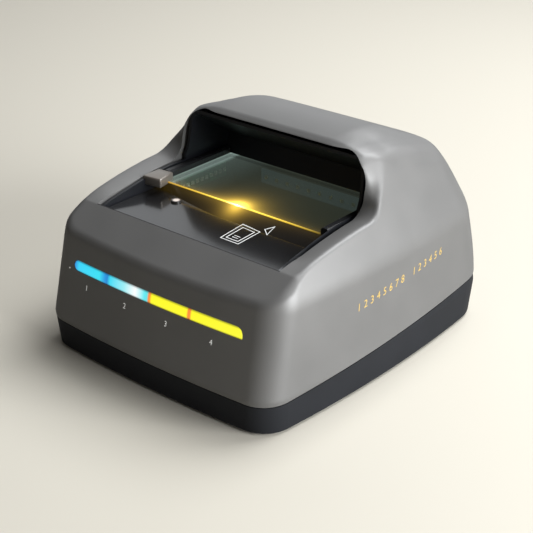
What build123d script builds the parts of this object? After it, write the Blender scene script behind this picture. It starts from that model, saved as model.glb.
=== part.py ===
from build123d import *
import math
import os

# Counter-top passport reader. +Z is up, +Y points to the rear, the origin is under the middle
# of the body, on the face that the rubber feet stand on. Lengths are in millimetres.

# Body
body_width = 208.8
body_depth = 243.0
roof_height = 142.6
base_bottom = 2.0
wide_height = 24.0
ridge_height = 82.0
shoulder_height = 104.0
wall = 2.5
front_bulge = 4.0
side_bulge = 9.6
rear_bulge = 4.0
front_corner = 20.0
rear_corner = 38.0
base_inset = 1.5
ridge_inset = 2.2
parting_front = 20.0
parting_gap = 0.7
overrun = 5.0
fit_gap = 0.3
seat_gap = 0.1

# Slopes and curves of the body, as shares of the sizes that they follow
front_lean_share = 0.22
parting_slope_share = 0.046
side_slope_share = 0.505
crown_shares = ((0.0, 0.0), (0.52, 0.0), (0.6, 0.6), (0.67, 2.6), (0.73, 6.2), (0.79, 12.0), (1.0, 18.0))
rear_curve_shares = (
    (0.0, 0.898, 1.0), (0.18, 0.861, 0.9), (0.4, 0.81, 0.76), (0.528, 0.77, 0.66), (0.67, 0.709, 0.53),
    (0.744, 0.66, 0.42), (0.83, 0.576, 0.34), (0.952, 0.436, 0.26), (1.09, 0.296, 0.21),
)
hood_front_shares = (
    (0.0, -0.066, -0.09), (0.15, -0.042, -0.043), (0.33, -0.03, 0.013), (0.5, -0.021, 0.056),
    (0.68, -0.015, 0.095), (0.85, -0.008, 0.13), (1.05, 0.0, 0.17),
)

# Deck and shoulders
deck_lip_y = -84.5
deck_lip_height = 93.2
shoulder_curve_shares = ((0.2, 0.37), (0.42, 0.63), (1.0, 1.0))
shoulder_end_y = -13.0
roof_brow_y = 4.3
roof_brow_drop = 1.4
roof_peak_y = 25.0
roof_rear_y = 60.0
roof_rear_drop = 8.2
roof_rear_slope = 0.42
brow_depth = 5.3
brow_drop = 3.0

# Document bay
bay_half_width = 75.5
bay_corner = 11.0
bay_taper = 3.0
bay_top = 137.4
liner_wall = 2.0
liner_floor = 84.0
liner_shelf = 7.0
bay_rear_y = 39.5
bay_rear_height = 109.0
bay_rear_lean = 5.0
bay_mouth_y = -4.0
hood_wall = 8.2
hood_lip = 2.2
foot_overlap = 6.0

# Document glass and its platform
glass_width = 132.0
glass_front_y = -33.4
glass_top = 96.0
glass_thickness = 3.0
glass_ledge = 4.0
platform_thickness = 7.0
platform_side_gap = 1.2
panel_height = 90.0
panel_thickness = 2.0
nose_front_y = -44.5
nose_middle_x = -41.5
nose_middle_y = -39.4
nose_end_y = -33.9
nose_top_drop = 0.2
nose_back = 4.0
nose_bend_x = -8.0
nose_end_x = -66.0
rail_height = 4.5
rail_chamfer = 1.2
block_front_y = -44.2
block_rear_y = -27.0
block_top = 101.0
block_overhang = 1.6
block_round = 1.6
lens_radius = 3.4
lens_height = 1.2
lens_x = -45.0
lens_y = -43.6

# Light bar
bar_height = 6.4
bar_centre = 61.5
bar_half_length = 70.8
bar_stand = 0.3
bar_gap = 0.25
bar_splits_shares = (-1.0, -0.561, -0.024, 0.434, 1.0)
bar_divider = 0.5
carrier_margin = 4.0
carrier_thickness = 2.2
led_count = 12
led_size = 3.0
led_thickness = 1.0
board_thickness = 1.6

# Optical box and camera
box_top_margin = 2.0
box_wall = 1.6
box_bottom = 16.0
box_floor_half_x = 34.0
box_floor_half_y = 24.0
camera_board_x = 46.0
camera_board_y = 36.0
barrel_radius = 8.0
barrel_height = 14.0
lens_glass_radius = 5.5
lens_glass_height = 2.0
barrel_wall = 1.8
strip_height = 10.0
strip_left_x = -33.0
side_strip_length = 46.0
strip_led_count = 10
strip_led_size = 2.4
strip_led_thickness = 0.8
strip_drop = 1.0
camera_board_height = 12.8

# Boards in the base
main_board_left = -75.0
main_board_right = 30.0
main_board_front = 52.0
main_board_height = 10.0
main_board_rear = 114.0
standoff_radius = 3.0
board_screw_radius = 1.4
board_screw_inset = 6.0
board_screw_head = 2.4
board_screw_head_height = 1.4
chip_size = 28.0
chip_height = 1.8
sink_height = 9.0
sink_fins = 7
sink_fin_thickness = 1.4
sink_base = 2.0
antenna_half_x = 52.0
antenna_front_y = -80.0
antenna_rear_y = -48.5
antenna_margin = 1.0
lip_thickness = 1.6
lip_rise = 3.0
buzzer_radius = 6.0
buzzer_height = 7.0
buzzer_hole = 1.0
ribbon_width = 16.0
ribbon_thickness = 0.4

# Rear sockets and switch
usb_x = -34.0
usb_width = 12.0
usb_height = 11.0
usb_depth = 17.0
usb_wall = 1.0
usb_tongue_x = 5.6
usb_tongue_z = 3.2
usb_tongue_back = 3.0
power_x = -60.0
power_width = 9.4
power_height = 11.0
power_depth = 13.0
power_bore = 3.1
power_pin = 1.0
power_bore_depth = 10.0
power_pin_back = 1.5
switch_x = 46.0
switch_width = 21.0
switch_height = 15.0
switch_depth = 16.0
switch_flange = 2.0
switch_flange_thickness = 1.5
switch_wall = 1.6
switch_rise = 17.5
rear_panel_face = 119.4
rear_panel_thickness = 3.4
rear_panel_left = -69.0
rear_panel_right = 62.0
rear_panel_low = 5.0
rear_panel_high = 30.0
socket_back = 0.4
rocker_pivot_depth = 1.2
rocker_axle = 1.2
rocker_axle_play = 0.06
rocker_gap = 0.45
rocker_half_angle = 8.0
rocker_stand = 2.0
rocker_dip = 0.8
rocker_back = 4.0
rocker_pin_reach = 1.0
cutout_gap = 0.4

# Fasteners and feet
screw_radius = 1.5
screw_play = 0.05
screw_head_radius = 2.8
screw_head_height = 1.8
screw_reach = 9.0
boss_wall = 4.0
post_radius = 4.5
post_skin_share = 0.5
post_x = 86.0
post_front_y = -82.0
post_rear_y = 74.0
boss_top = 22.0
foot_radius = 9.0
foot_seat = 1.2
foot_x = 76.0
foot_y = 94.0
foot_round = 1.0
head_recess = 2.4
key_size = 1.3
key_depth = 1.0

os.makedirs("parts", exist_ok=True)

half_width = body_width / 2
half_depth = body_depth / 2
floor_top = base_bottom + wall
glass_half = glass_width / 2
bay_foot_y = bay_rear_y - bay_rear_lean
glass_rear_y = bay_foot_y - fit_gap
glass_bottom = glass_top - glass_thickness
liner_half = bay_half_width - fit_gap
bay_inner_half = liner_half - liner_wall
platform_half = bay_inner_half - platform_side_gap
platform_bottom = glass_bottom - platform_thickness
panel_bottom = panel_height - panel_thickness


def ship(shape, node):
    """Writes one piece to its STEP file."""
    export_step(shape, "parts/" + node + ".step")
    return shape


def box(x0, x1, y0, y1, z0, z1):
    """A plain block between two corners."""
    block = Box(x1 - x0, y1 - y0, z1 - z0, align=(Align.MIN, Align.MIN, Align.MIN))
    return Pos(x0, y0, z0) * block


def cylinder(x, y, z0, z1, radius):
    """An upright round bar."""
    bar = Cylinder(radius, z1 - z0, align=(Align.CENTER, Align.CENTER, Align.MIN))
    return Pos(x, y, z0) * bar


def side_solid(points, half):
    """A closed side-view outline, drawn through to both sides."""
    wire = Polyline(*[(y, z) for y, z in points], close=True)
    face = make_face(Plane.YZ * wire)
    return extrude(face, amount=half, both=True)


def plan_half(height):
    """Half of the body's width at a height."""
    if height >= ridge_height:
        return half_width - ridge_inset - side_slope_share * (height - ridge_height)
    if height >= wide_height:
        return half_width - ridge_inset * (height - wide_height) / (ridge_height - wide_height)
    return half_width - base_inset * (wide_height - height) / (wide_height - base_bottom)


def front_y(height):
    """The front face leans back as it rises."""
    if height < wide_height:
        return -half_depth + base_inset * (wide_height - height) / (wide_height - base_bottom)
    return -half_depth + front_lean_share * (height - wide_height)


def four_arcs(height, front, rear, half, rear_round, inset):
    """A rounded plan outline of four bulged sides."""
    f = front + inset
    r = rear - inset
    w = half - inset
    front_x = w - side_bulge
    rear_x = w - side_bulge / 2
    sides = [
        ThreePointArc((-front_x, f + front_bulge), (0, f), (front_x, f + front_bulge)),
        ThreePointArc((front_x, f + front_bulge), (w, (f + r) / 2), (rear_x, r - rear_bulge)),
        ThreePointArc((rear_x, r - rear_bulge), (0, r), (-rear_x, r - rear_bulge)),
        ThreePointArc((-rear_x, r - rear_bulge), (-w, (f + r) / 2), (-front_x, f + front_bulge)),
    ]
    face = make_face(sides)
    low = face.vertices().sort_by(Axis.Y)
    face = fillet(low[:2], radius=front_corner - inset)
    high = face.vertices().sort_by(Axis.Y)
    face = fillet(high[-2:], radius=rear_round - inset)
    return Pos(0, 0, height) * face


def body_form(inset):
    """The body's rounded sides, from the base to above the roof."""
    span = roof_height - ridge_height
    levels = [(base_bottom, half_depth - base_inset, 1), (wide_height, half_depth, 1)]
    levels += [(ridge_height + up * span, half_depth * back, turn) for up, back, turn in rear_curve_shares]
    faces = []
    for z, rear, turn in levels:
        faces.append(four_arcs(z, front_y(z), rear, plan_half(z), rear_corner * turn, inset))
    return loft(faces, ruled=True)


def deck_form(drop):
    """Everything under the deck and shoulders, seen from the side."""
    lip = (deck_lip_y, deck_lip_height - drop)
    run = shoulder_end_y - deck_lip_y
    rise = shoulder_height - deck_lip_height
    slope = (deck_lip_height - ridge_height + wall) / (deck_lip_y - front_y(ridge_height))
    reach = half_depth + overrun
    start = (-reach, deck_lip_height - drop - slope * (deck_lip_y + reach))
    curve = [lip]
    curve += [(deck_lip_y + a * run, deck_lip_height + b * rise - drop) for a, b in shoulder_curve_shares]
    end = curve[-1]
    top = Spline(*curve, tangents=[(1, slope), (1, 0)])
    edges = [
        Line((start[0], -overrun), start),
        Line(start, lip),
        top,
        Line(end, (reach, end[1])),
        Line((reach, end[1]), (reach, -overrun)),
        Line((reach, -overrun), (start[0], -overrun)),
    ]
    face = make_face(Plane.YZ * Wire(edges))
    return extrude(face, amount=half_width, both=True)


def hood_outline(level, inset):
    """The hood's front edge and its swept flanks at one level."""
    up, edge_share, flank_share = level
    height = shoulder_height + up * (roof_height - shoulder_height)
    y_edge = half_depth * edge_share + inset
    y_flank = half_depth * flank_share + inset
    x_flank = plan_half(height) - inset
    x_edge = min(bay_half_width + hood_lip, plan_half(height) - hood_lip) - inset
    far = (half_width + overrun, half_depth + overrun)
    corner = [(x_edge, y_edge), (x_flank, y_flank), (far[0], y_flank), far]
    mirrored = [(-x, y) for x, y in reversed(corner)]
    return Pos(0, 0, height) * make_face(Polyline(*corner, *mirrored, close=True))


def hood_form(inset):
    """The space behind the hood's front, under its roof."""
    root = hood_outline(hood_front_shares[0], inset)
    faces = [hood_outline(level, inset) for level in hood_front_shares]
    block = loft(faces, ruled=True) + extrude(root, amount=-foot_overlap)
    return block & roof_form(inset)


def roof_face(x, fall, inset):
    """One side-view slice of the space under the roof; the roof falls away to both sides."""
    top = roof_height - fall - inset
    brow = (roof_brow_y, top - roof_brow_drop)
    chin = (roof_brow_y - brow_depth, brow[1] - brow_drop)
    front = (-half_depth, chin[1] - brow_drop)
    rear = (roof_rear_y, top - roof_rear_drop)
    far_y = half_depth + overrun
    far = (far_y, rear[1] - roof_rear_slope * (far_y - roof_rear_y))
    edges = [
        Line(front, chin),
        Line(chin, brow),
        ThreePointArc(brow, (roof_peak_y, top), rear),
        Line(rear, far),
        Line(far, (far[0], liner_floor)),
        Line((far[0], liner_floor), (front[0], liner_floor)),
        Line((front[0], liner_floor), front),
    ]
    face = make_face(Plane.YZ * Wire(edges))
    return Pos(x, 0, 0) * face


def roof_form(inset):
    """Everything under the crowned roof."""
    right = [(share * half_width, fall) for share, fall in crown_shares]
    slices = [(-x, fall) for x, fall in reversed(right[1:])] + right
    return loft([roof_face(x, fall, inset) for x, fall in slices], ruled=True)


def over_parting(raise_by):
    """The space above the sloping parting line."""
    low = parting_front + raise_by
    high = low + parting_slope_share * body_depth
    top = roof_height + overrun
    reach = half_depth + overrun
    extra = parting_slope_share * overrun
    points = [(-reach, low - extra), (reach, high + extra), (reach, top), (-reach, top)]
    return side_solid(points, half_width + overrun)


def bay_prism(inset, y0, y1):
    """The arched front view of the bay, drawn from front to rear."""
    low = (bay_half_width - inset, liner_floor)
    high = (bay_half_width - bay_taper - inset, bay_top - inset)
    face = make_face(Polyline(low, high, (-high[0], high[1]), (-low[0], low[1]), close=True))
    upper = face.vertices().sort_by(Axis.Y)[-2:]
    face = fillet(upper, radius=bay_corner - inset)
    solid = extrude(Plane.XZ * face, amount=y1 - y0)
    return Pos(0, y1, 0) * solid


def outer_body(inset):
    """The whole outer form from the base to the roof."""
    return body_form(inset) & (deck_form(inset) + hood_form(inset))


def under_parting(raise_by):
    """The space below the sloping parting line."""
    low = parting_front + raise_by
    high = low + parting_slope_share * body_depth
    reach = half_depth + overrun
    extra = parting_slope_share * overrun
    points = [(-reach, -overrun), (reach, -overrun), (reach, high + extra), (-reach, low - extra)]
    return side_solid(points, half_width + overrun)


def skin(near, far):
    """A layer of the body's wall between two depths under its surface."""
    return body_form(near) - body_form(far)


def mirror_pair(shape):
    """A piece and its twin on the other side."""
    return [shape, mirror(shape, about=Plane.YZ)]


def post_places():
    """Where the four long screws stand."""
    return [(x, y) for x in (-post_x, post_x) for y in (post_front_y, post_rear_y)]


def board_places():
    """Where the main board is screwed down."""
    left = main_board_left + board_screw_inset
    right = main_board_right - board_screw_inset
    front = main_board_front + board_screw_inset
    rear = main_board_rear - usb_depth - board_screw_inset
    return [(x, y) for x in (left, right) for y in (front, rear)]


def camera_places():
    """Where the camera board is screwed down."""
    x = camera_board_x / 2 - board_screw_inset
    y = camera_board_y / 2 - board_screw_inset
    return [(a, b) for a in (-x, x) for b in (-y, y)]


def bar_box(x0, x1, half_height):
    """A block through the front wall at the light bar."""
    front = -half_depth - overrun
    return box(x0, x1, front, front + half_depth / 2, bar_centre - half_height, bar_centre + half_height)


def bar_layer(x0, x1, half_height, near, far):
    """A block at the light bar, cut to a layer of the bulged front wall."""
    return (bar_box(x0, x1, half_height) & body_form(near)) - body_form(far)


def make_cover():
    """Shell with the tray cut through its deck and the arched mouth in its hood."""
    mouth = bay_prism(0, deck_lip_y, roof_brow_y + hood_wall)
    shell = outer_body(0) - outer_body(wall) - mouth
    slot = bar_box(-bar_half_length - bar_gap, bar_half_length + bar_gap, bar_height / 2 + bar_gap)
    shell = (shell - slot) & over_parting(parting_gap)
    inside = outer_body(wall * post_skin_share)
    for x, y in post_places():
        post = cylinder(x, y, boss_top + fit_gap, roof_height, post_radius) & inside
        pilot = cylinder(x, y, 0, boss_top + screw_reach + overrun, screw_radius + screw_play)
        shell = shell + post - pilot
    return shell


def make_base():
    """Tray with a stepped rim, screw bosses, standoffs, foot seats and a flat rear panel."""
    hollow = body_form(wall) & box(-half_width, half_width, -half_depth, half_depth, floor_top, roof_height)
    tray = (body_form(0) - hollow) & under_parting(0)
    rim_back = wall + lip_thickness
    foot_ring = skin(wall * post_skin_share, rim_back) & over_parting(-lip_rise - wall) & under_parting(-wall)
    rim = skin(wall + fit_gap, rim_back) & over_parting(-lip_rise) & under_parting(lip_rise)
    tray = tray + foot_ring + rim
    panel_front = rear_panel_face - rear_panel_thickness
    low = rear_panel_low
    high = rear_panel_high
    panel = box(rear_panel_left, rear_panel_right, panel_front, half_depth, low, high)
    tray = tray + (panel & body_form(0))
    left = rear_panel_left + wall
    right = rear_panel_right - wall
    tray = tray - box(left, right, rear_panel_face, half_depth + overrun, low + wall, high - wall)
    for x, y in post_places():
        boss = cylinder(x, y, floor_top - wall / 2, boss_top, screw_radius + boss_wall)
        hole = cylinder(x, y, 0, boss_top + overrun, screw_radius + screw_play)
        sink = cylinder(x, y, 0, base_bottom + head_recess, screw_head_radius + fit_gap)
        tray = tray + boss - hole - sink
    for places, top in ((board_places(), main_board_height), (camera_places(), camera_board_height)):
        for x, y in places:
            tray += cylinder(x, y, floor_top - wall / 2, top, standoff_radius)
            tray -= cylinder(x, y, floor_top, top + overrun, board_screw_radius + screw_play)
    for x in (-foot_x, foot_x):
        for y in (-foot_y, foot_y):
            tray -= cylinder(x, y, 0, base_bottom + foot_seat, foot_radius + seat_gap)
    return tray - socket_openings()


def socket_openings():
    """The openings for the two sockets and the switch in the rear panel."""
    y0 = rear_panel_face - rear_panel_thickness - overrun
    y1 = rear_panel_face + overrun
    low = main_board_height + board_thickness - cutout_gap
    half_x = switch_width / 2 + fit_gap
    half_z = switch_height / 2 + fit_gap
    cuts = box(switch_x - half_x, switch_x + half_x, y0, y1, switch_rise - half_z, switch_rise + half_z)
    for x, width, height in ((usb_x, usb_width, usb_height), (power_x, power_width, power_height)):
        reach = width / 2 + cutout_gap
        cuts += box(x - reach, x + reach, y0, y1, low, low + height + 2 * cutout_gap)
    return cuts


def bay_slope(out):
    """Side view of the bay: rear stop wall and sloping ceiling, moved outwards by a wall."""
    front = deck_lip_y + fit_gap
    points = [
        (front, liner_floor),
        (bay_foot_y + out, liner_floor),
        (bay_foot_y + out, glass_top),
        (bay_rear_y + out, bay_rear_height + out / 2),
        (bay_mouth_y + out, bay_top + out / 2),
        (front, bay_top + out / 2),
    ]
    return side_solid(points, half_width)


def make_liner():
    """Black inner bay: side walls, rear stop and sloping ceiling, with a shelf at each side."""
    front = deck_lip_y + fit_gap
    rear = bay_rear_y + liner_wall + overrun
    outside = bay_prism(fit_gap, front, rear) & bay_slope(liner_wall) & outer_body(wall + fit_gap)
    inside = bay_prism(fit_gap + liner_wall, front, rear) & bay_slope(0)
    shell = outside - inside
    x0 = bay_inner_half - liner_shelf
    x1 = bay_inner_half + liner_wall / 2
    shelf = box(x0, x1, front, bay_foot_y, liner_floor, platform_bottom)
    for piece in mirror_pair(shelf):
        shell += piece
    return shell


def nose_plan(z, flat):
    """Plan of the platform's nose; its front edge sweeps back to the left unless flat."""
    back = glass_front_y + nose_back
    right = platform_half
    front = nose_end_y if flat else nose_front_y
    bend = (nose_bend_x, front)
    middle = (nose_middle_x, nose_end_y if flat else nose_middle_y)
    end = (nose_end_x, nose_end_y)
    edges = [
        Line((right, front), bend),
        Spline(bend, middle, end) if not flat else Line(bend, end),
        Line(end, (nose_end_x, back)),
        Line((nose_end_x, back), (right, back)),
        Line((right, back), (right, front)),
    ]
    return Pos(0, 0, z) * make_face(edges)


def make_platform():
    """Black frame that carries the glass, with a nose that falls away to the card panel."""
    front = deck_lip_y + fit_gap
    half = platform_half
    plate = box(-half, half, front, glass_rear_y, platform_bottom, panel_bottom)
    upper = box(-half, half, glass_front_y + nose_back / 2, glass_rear_y, platform_bottom, glass_bottom)
    low = nose_plan(panel_height, False)
    nose = loft([low, nose_plan(glass_top - nose_top_drop, True)], ruled=True)
    nose += extrude(low, amount=-panel_thickness - nose_top_drop)
    left = -glass_half - fit_gap
    nose -= box(left, half, glass_front_y - seat_gap, glass_rear_y, glass_bottom, roof_height)
    reach = glass_half - glass_ledge
    window = box(-reach, reach, glass_front_y + glass_ledge, glass_rear_y - glass_ledge, 0, roof_height)
    side = antenna_half_x + antenna_margin
    low = antenna_front_y - antenna_margin
    under = box(-side, side, low, antenna_rear_y + antenna_margin, 0, roof_height)
    return plate + upper + nose - window - under


def make_panel():
    """Glossy card panel, its rear edge cut to the nose."""
    front = deck_lip_y + fit_gap
    sheet = box(-platform_half, platform_half, front, glass_front_y, panel_bottom, panel_height)
    low = nose_plan(panel_bottom - overrun, False)
    moved = Pos(0, -seat_gap, 0) * extrude(low, amount=panel_thickness + 2 * overrun)
    behind = box(-platform_half - overrun, nose_end_x + overrun, nose_end_y - seat_gap, 0, 0, roof_height)
    return sheet - moved - behind


def make_block():
    """Raised block at the front end of the left rail, with a soft top edge."""
    left = -platform_half
    middle = nose_end_y - seat_gap
    foot = box(left, nose_end_x - seat_gap, block_front_y, middle, panel_height, block_top)
    back = box(left, -glass_half - fit_gap, middle, block_rear_y, glass_bottom, block_top)
    right = -glass_half + block_overhang
    hang = box(left, right, block_front_y, block_rear_y, glass_top + fit_gap, block_top)
    block = foot + back + hang
    return fillet(block.edges().group_by(Axis.Z)[-1], radius=block_round)


def make_rail(x0, x1, front):
    """Guide rail on top of the platform, its upper inner edge bevelled."""
    rail = box(x0, x1, front, glass_rear_y, glass_bottom, glass_top + rail_height)
    inner = rail.edges().filter_by(Axis.Y).group_by(Axis.Z)[-1]
    return chamfer(inner, length=rail_chamfer)


def make_bar_segment(index):
    """One translucent segment of the light bar, following the bulged front."""
    x0 = bar_splits_shares[index] * bar_half_length + bar_divider / 2
    x1 = bar_splits_shares[index + 1] * bar_half_length - bar_divider / 2
    return bar_layer(x0, x1, bar_height / 2, -bar_stand, wall + seat_gap)


def make_bar_carrier():
    """Dark frame behind the light bar."""
    near = wall + fit_gap
    reach = bar_half_length + carrier_margin
    inner = bar_half_length - carrier_margin
    plate = bar_layer(-reach, reach, bar_height / 2 + carrier_margin, near, near + carrier_thickness)
    return plate - bar_box(-inner, inner, led_size / 2 + fit_gap)


def make_bar_board():
    """Narrow board behind the carrier."""
    near = wall + fit_gap + carrier_thickness + seat_gap
    reach = bar_half_length + carrier_margin
    return bar_layer(-reach, reach, bar_height / 2 + carrier_margin, near, near + board_thickness)


def make_bar_leds():
    """Row of small lamps on the board, inside the carrier's slot."""
    far = wall + fit_gap + carrier_thickness + seat_gap
    layer = bar_layer(-bar_half_length, bar_half_length, led_size / 2, far - led_thickness, far)
    reach = bar_half_length - carrier_margin - led_size
    lamps = []
    for index in range(led_count):
        x = -reach + 2 * reach * index / (led_count - 1)
        lamps.append(layer & bar_box(x - led_size / 2, x + led_size / 2, led_size / 2))
    return lamps


def rectangle_at(half_x, y0, y1, z):
    """A level rectangle."""
    return Pos(0, (y0 + y1) / 2, z) * Rectangle(2 * half_x, y1 - y0)


def make_optical_box():
    """Black funnel under the glass, open at the top, with a hole for the lens in its floor."""
    half_x = glass_half - glass_ledge + box_top_margin
    y0 = glass_front_y + glass_ledge - box_top_margin
    y1 = glass_rear_y - glass_ledge + box_top_margin
    top = platform_bottom
    foot_x = box_floor_half_x
    foot_y = box_floor_half_y
    low = rectangle_at(foot_x + box_wall, -foot_y - box_wall, foot_y + box_wall, box_bottom)
    outer = loft([low, rectangle_at(half_x + box_wall, y0 - box_wall, y1 + box_wall, top)], ruled=True)
    low = rectangle_at(foot_x, -foot_y, foot_y, box_bottom + box_wall)
    inner = loft([low, rectangle_at(half_x, y0, y1, top)], ruled=True)
    hole = cylinder(0, 0, 0, box_bottom + overrun, barrel_radius + fit_gap)
    return outer - inner - hole


def strip(x0, x1, y0, y1):
    """An upright lamp board just under the glass."""
    top = glass_bottom - strip_drop
    return box(x0, x1, y0, y1, top - strip_height, top)


def make_strip_leds():
    """Small lamps on the three upright boards."""
    half = strip_led_size / 2
    z0 = glass_bottom - strip_drop - strip_height / 2 - half
    z1 = z0 + strip_led_size
    rear = glass_rear_y - glass_ledge - board_thickness
    side = glass_half - glass_ledge - board_thickness
    lamps = []
    for index in range(strip_led_count):
        share = (index + 0.5) / strip_led_count
        x = strip_left_x + share * (side - strip_led_thickness - strip_left_x)
        lamps.append(box(x - half, x + half, rear - strip_led_thickness, rear, z0, z1))
        y = (share - 0.5) * side_strip_length
        lamps += mirror_pair(box(side - strip_led_thickness, side, y - half, y + half, z0, z1))
    return lamps


def screw(x, y, z_tip, z_head, radius, head_radius, head_height, upward):
    """A cap screw with a cross recess in its head."""
    z0, z1 = (z_tip, z_head) if upward else (z_head, z_tip)
    shaft = cylinder(x, y, min(z0, z1), max(z0, z1), radius)
    head_low = z_head if upward else z_head - head_height
    head = cylinder(x, y, head_low, head_low + head_height, head_radius)
    face = head_low + head_height if upward else head_low
    cross = Box(key_size * 3, key_size, key_depth * 2) + Box(key_size, key_size * 3, key_depth * 2)
    return shaft + head - Pos(x, y, face) * cross


def make_heat_sink(x, y, low):
    """Finned block on the processor."""
    half = chip_size / 2
    sink = box(x - half, x + half, y - half, y + half, low, low + sink_base)
    for index in range(sink_fins):
        at = x - half + index * (chip_size - sink_fin_thickness) / (sink_fins - 1)
        sink += box(at, at + sink_fin_thickness, y - half, y + half, low, low + sink_height)
    return sink


def make_usb_shell(low):
    """Square data socket, open to the rear."""
    face = rear_panel_face - socket_back
    half = usb_width / 2
    back = face - usb_depth
    high = low + usb_height
    shell = box(usb_x - half, usb_x + half, back, face, low, high)
    half -= usb_wall
    back += usb_wall
    return shell - box(usb_x - half, usb_x + half, back, face + overrun, low + usb_wall, high - usb_wall)


def make_usb_tongue(low):
    """Contact tongue in the middle of the data socket."""
    face = rear_panel_face - socket_back
    middle = low + usb_height / 2
    y0 = face - usb_depth + usb_wall
    y1 = face - usb_tongue_back
    x = usb_tongue_x / 2
    z = usb_tongue_z / 2
    return box(usb_x - x, usb_x + x, y0, y1, middle - z, middle + z)


def rear_bar(x, z, y0, y1, radius):
    """A round bar along Y."""
    bar = Cylinder(radius, y1 - y0, align=(Align.CENTER, Align.CENTER, Align.MIN))
    return Pos(x, y0, z) * Rot(-90, 0, 0) * bar


def make_power_socket(low):
    """Round power inlet in a square body."""
    face = rear_panel_face - socket_back
    half = power_width / 2
    body = box(power_x - half, power_x + half, face - power_depth, face, low, low + power_height)
    middle = low + power_height / 2
    return body - rear_bar(power_x, middle, face - power_bore_depth, face + overrun, power_bore)


def make_power_pin(low):
    """Centre pin of the power inlet."""
    face = rear_panel_face - socket_back
    middle = low + power_height / 2
    return rear_bar(power_x, middle, face - power_bore_depth, face - power_pin_back, power_pin)


def cross_bar(x0, x1, y, z, radius):
    """A round bar along X."""
    bar = Cylinder(radius, x1 - x0, align=(Align.CENTER, Align.CENTER, Align.MIN))
    return Pos(x0, y, z) * Rot(0, 90, 0) * bar


def switch_box(x, z, y0, y1):
    """A block centred on the power switch."""
    return box(switch_x - x, switch_x + x, y0, y1, switch_rise - z, switch_rise + z)


def make_switch_frame():
    """Flanged box of the power switch, with a hole for the rocker's pin in each side."""
    half_x = switch_width / 2
    half_z = switch_height / 2
    face = rear_panel_face
    back = face - switch_depth
    frame = switch_box(half_x, half_z, back, face)
    frame += switch_box(half_x + switch_flange, half_z + switch_flange, face, face + switch_flange_thickness)
    frame -= switch_box(half_x - switch_wall, half_z - switch_wall, back + switch_wall, face + overrun)
    reach = half_x - switch_wall + rocker_pin_reach + fit_gap
    hole = rocker_axle + rocker_axle_play
    return frame - cross_bar(switch_x - reach, switch_x + reach, face - rocker_pivot_depth, switch_rise, hole)


def make_rocker():
    """Rocker on two short pins, tilted to its lower stop."""
    half_x = switch_width / 2 - switch_wall - rocker_gap
    radius = switch_height / 2 - switch_wall - rocker_gap
    drum = cross_bar(switch_x - half_x, switch_x + half_x, 0, 0, radius)
    chord = math.sqrt(radius ** 2 - rocker_stand ** 2)
    far = radius + overrun
    stand = rocker_stand
    outline = [(-rocker_back, -far), (stand, -far), (stand, -chord), (stand - rocker_dip, 0)]
    outline += [(stand, chord), (stand, far), (-rocker_back, far)]
    face = make_face(Plane.YZ * Polyline(*outline, close=True))
    keep = Pos(switch_x, 0, 0) * extrude(face, amount=half_x + overrun, both=True)
    reach = switch_width / 2 - switch_wall + rocker_pin_reach
    body = (drum & keep) + cross_bar(switch_x - reach, switch_x + reach, 0, 0, rocker_axle)
    return Pos(0, rear_panel_face - rocker_pivot_depth, switch_rise) * Rot(rocker_half_angle, 0, 0) * body


def make_ribbon():
    """Flat cable from the camera board to the main board."""
    high = camera_board_height + board_thickness
    low = main_board_height + board_thickness
    y0 = camera_board_y / 2 - board_screw_inset
    y1 = camera_board_y / 2 + board_screw_inset
    y2 = main_board_front
    y3 = main_board_front + board_screw_inset
    under = [(y0, high), (y1, high), (y2, low), (y3, low)]
    over = [(y, z + ribbon_thickness) for y, z in reversed(under)]
    return side_solid(under + over, ribbon_width / 2)


def make_feet():
    """Four round rubber feet with a softened lower edge."""
    feet = []
    for x in (-foot_x, foot_x):
        for y in (-foot_y, foot_y):
            foot = cylinder(x, y, 0, base_bottom + foot_seat, foot_radius)
            feet.append(chamfer(foot.edges().group_by(Axis.Z)[0], length=foot_round))
    return feet


def make_board(x0, x1, y0, y1, low, places):
    """A circuit board with its screw holes."""
    board = box(x0, x1, y0, y1, low, low + board_thickness)
    for x, y in places:
        board -= cylinder(x, y, 0, roof_height, board_screw_radius + fit_gap)
    return board


board_top = main_board_height + board_thickness
camera_top = camera_board_height + board_thickness
chip_x = (main_board_left + main_board_right) / 2
chip_y = (main_board_front + main_board_rear - usb_depth) / 2
window_half = glass_half - glass_ledge
window_rear = glass_rear_y - glass_ledge

ship(make_cover(), "upper_cover")
ship(make_base(), "base_tray")
ship(make_liner(), "bay_liner")
ship(make_platform(), "document_platform")
pane = box(-glass_half, glass_half, glass_front_y, glass_rear_y, glass_bottom, glass_top)
ship(pane, "document_glass")
ship(make_rail(-platform_half, -glass_half - fit_gap, block_rear_y + fit_gap), "left_rail")
ship(make_rail(glass_half + fit_gap, platform_half, glass_front_y), "right_rail")
ship(make_block(), "sensor_block")
ship(make_panel(), "card_panel")
ship(cylinder(lens_x, lens_y, panel_height, panel_height + lens_height, lens_radius), "sensor_lens")
for number in range(len(bar_splits_shares) - 1):
    ship(make_bar_segment(number), "light_segment_" + str(number + 1))
ship(make_bar_carrier(), "light_bar_carrier")
ship(make_bar_board(), "light_bar_board")
ship(Compound(children=make_bar_leds()), "light_bar_leds")
ship(make_optical_box(), "optical_box")
rear_strip = strip(strip_left_x, window_half - board_thickness, window_rear - board_thickness, window_rear)
ship(rear_strip, "rear_lamp_board")
side_y = side_strip_length / 2
ship(strip(-window_half, -window_half + board_thickness, -side_y, side_y), "left_lamp_board")
ship(strip(window_half - board_thickness, window_half, -side_y, side_y), "right_lamp_board")
ship(Compound(children=make_strip_leds()), "document_lamps")
half_x = camera_board_x / 2
half_y = camera_board_y / 2
camera_board = make_board(-half_x, half_x, -half_y, half_y, camera_board_height, camera_places())
ship(camera_board, "camera_board")
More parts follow.
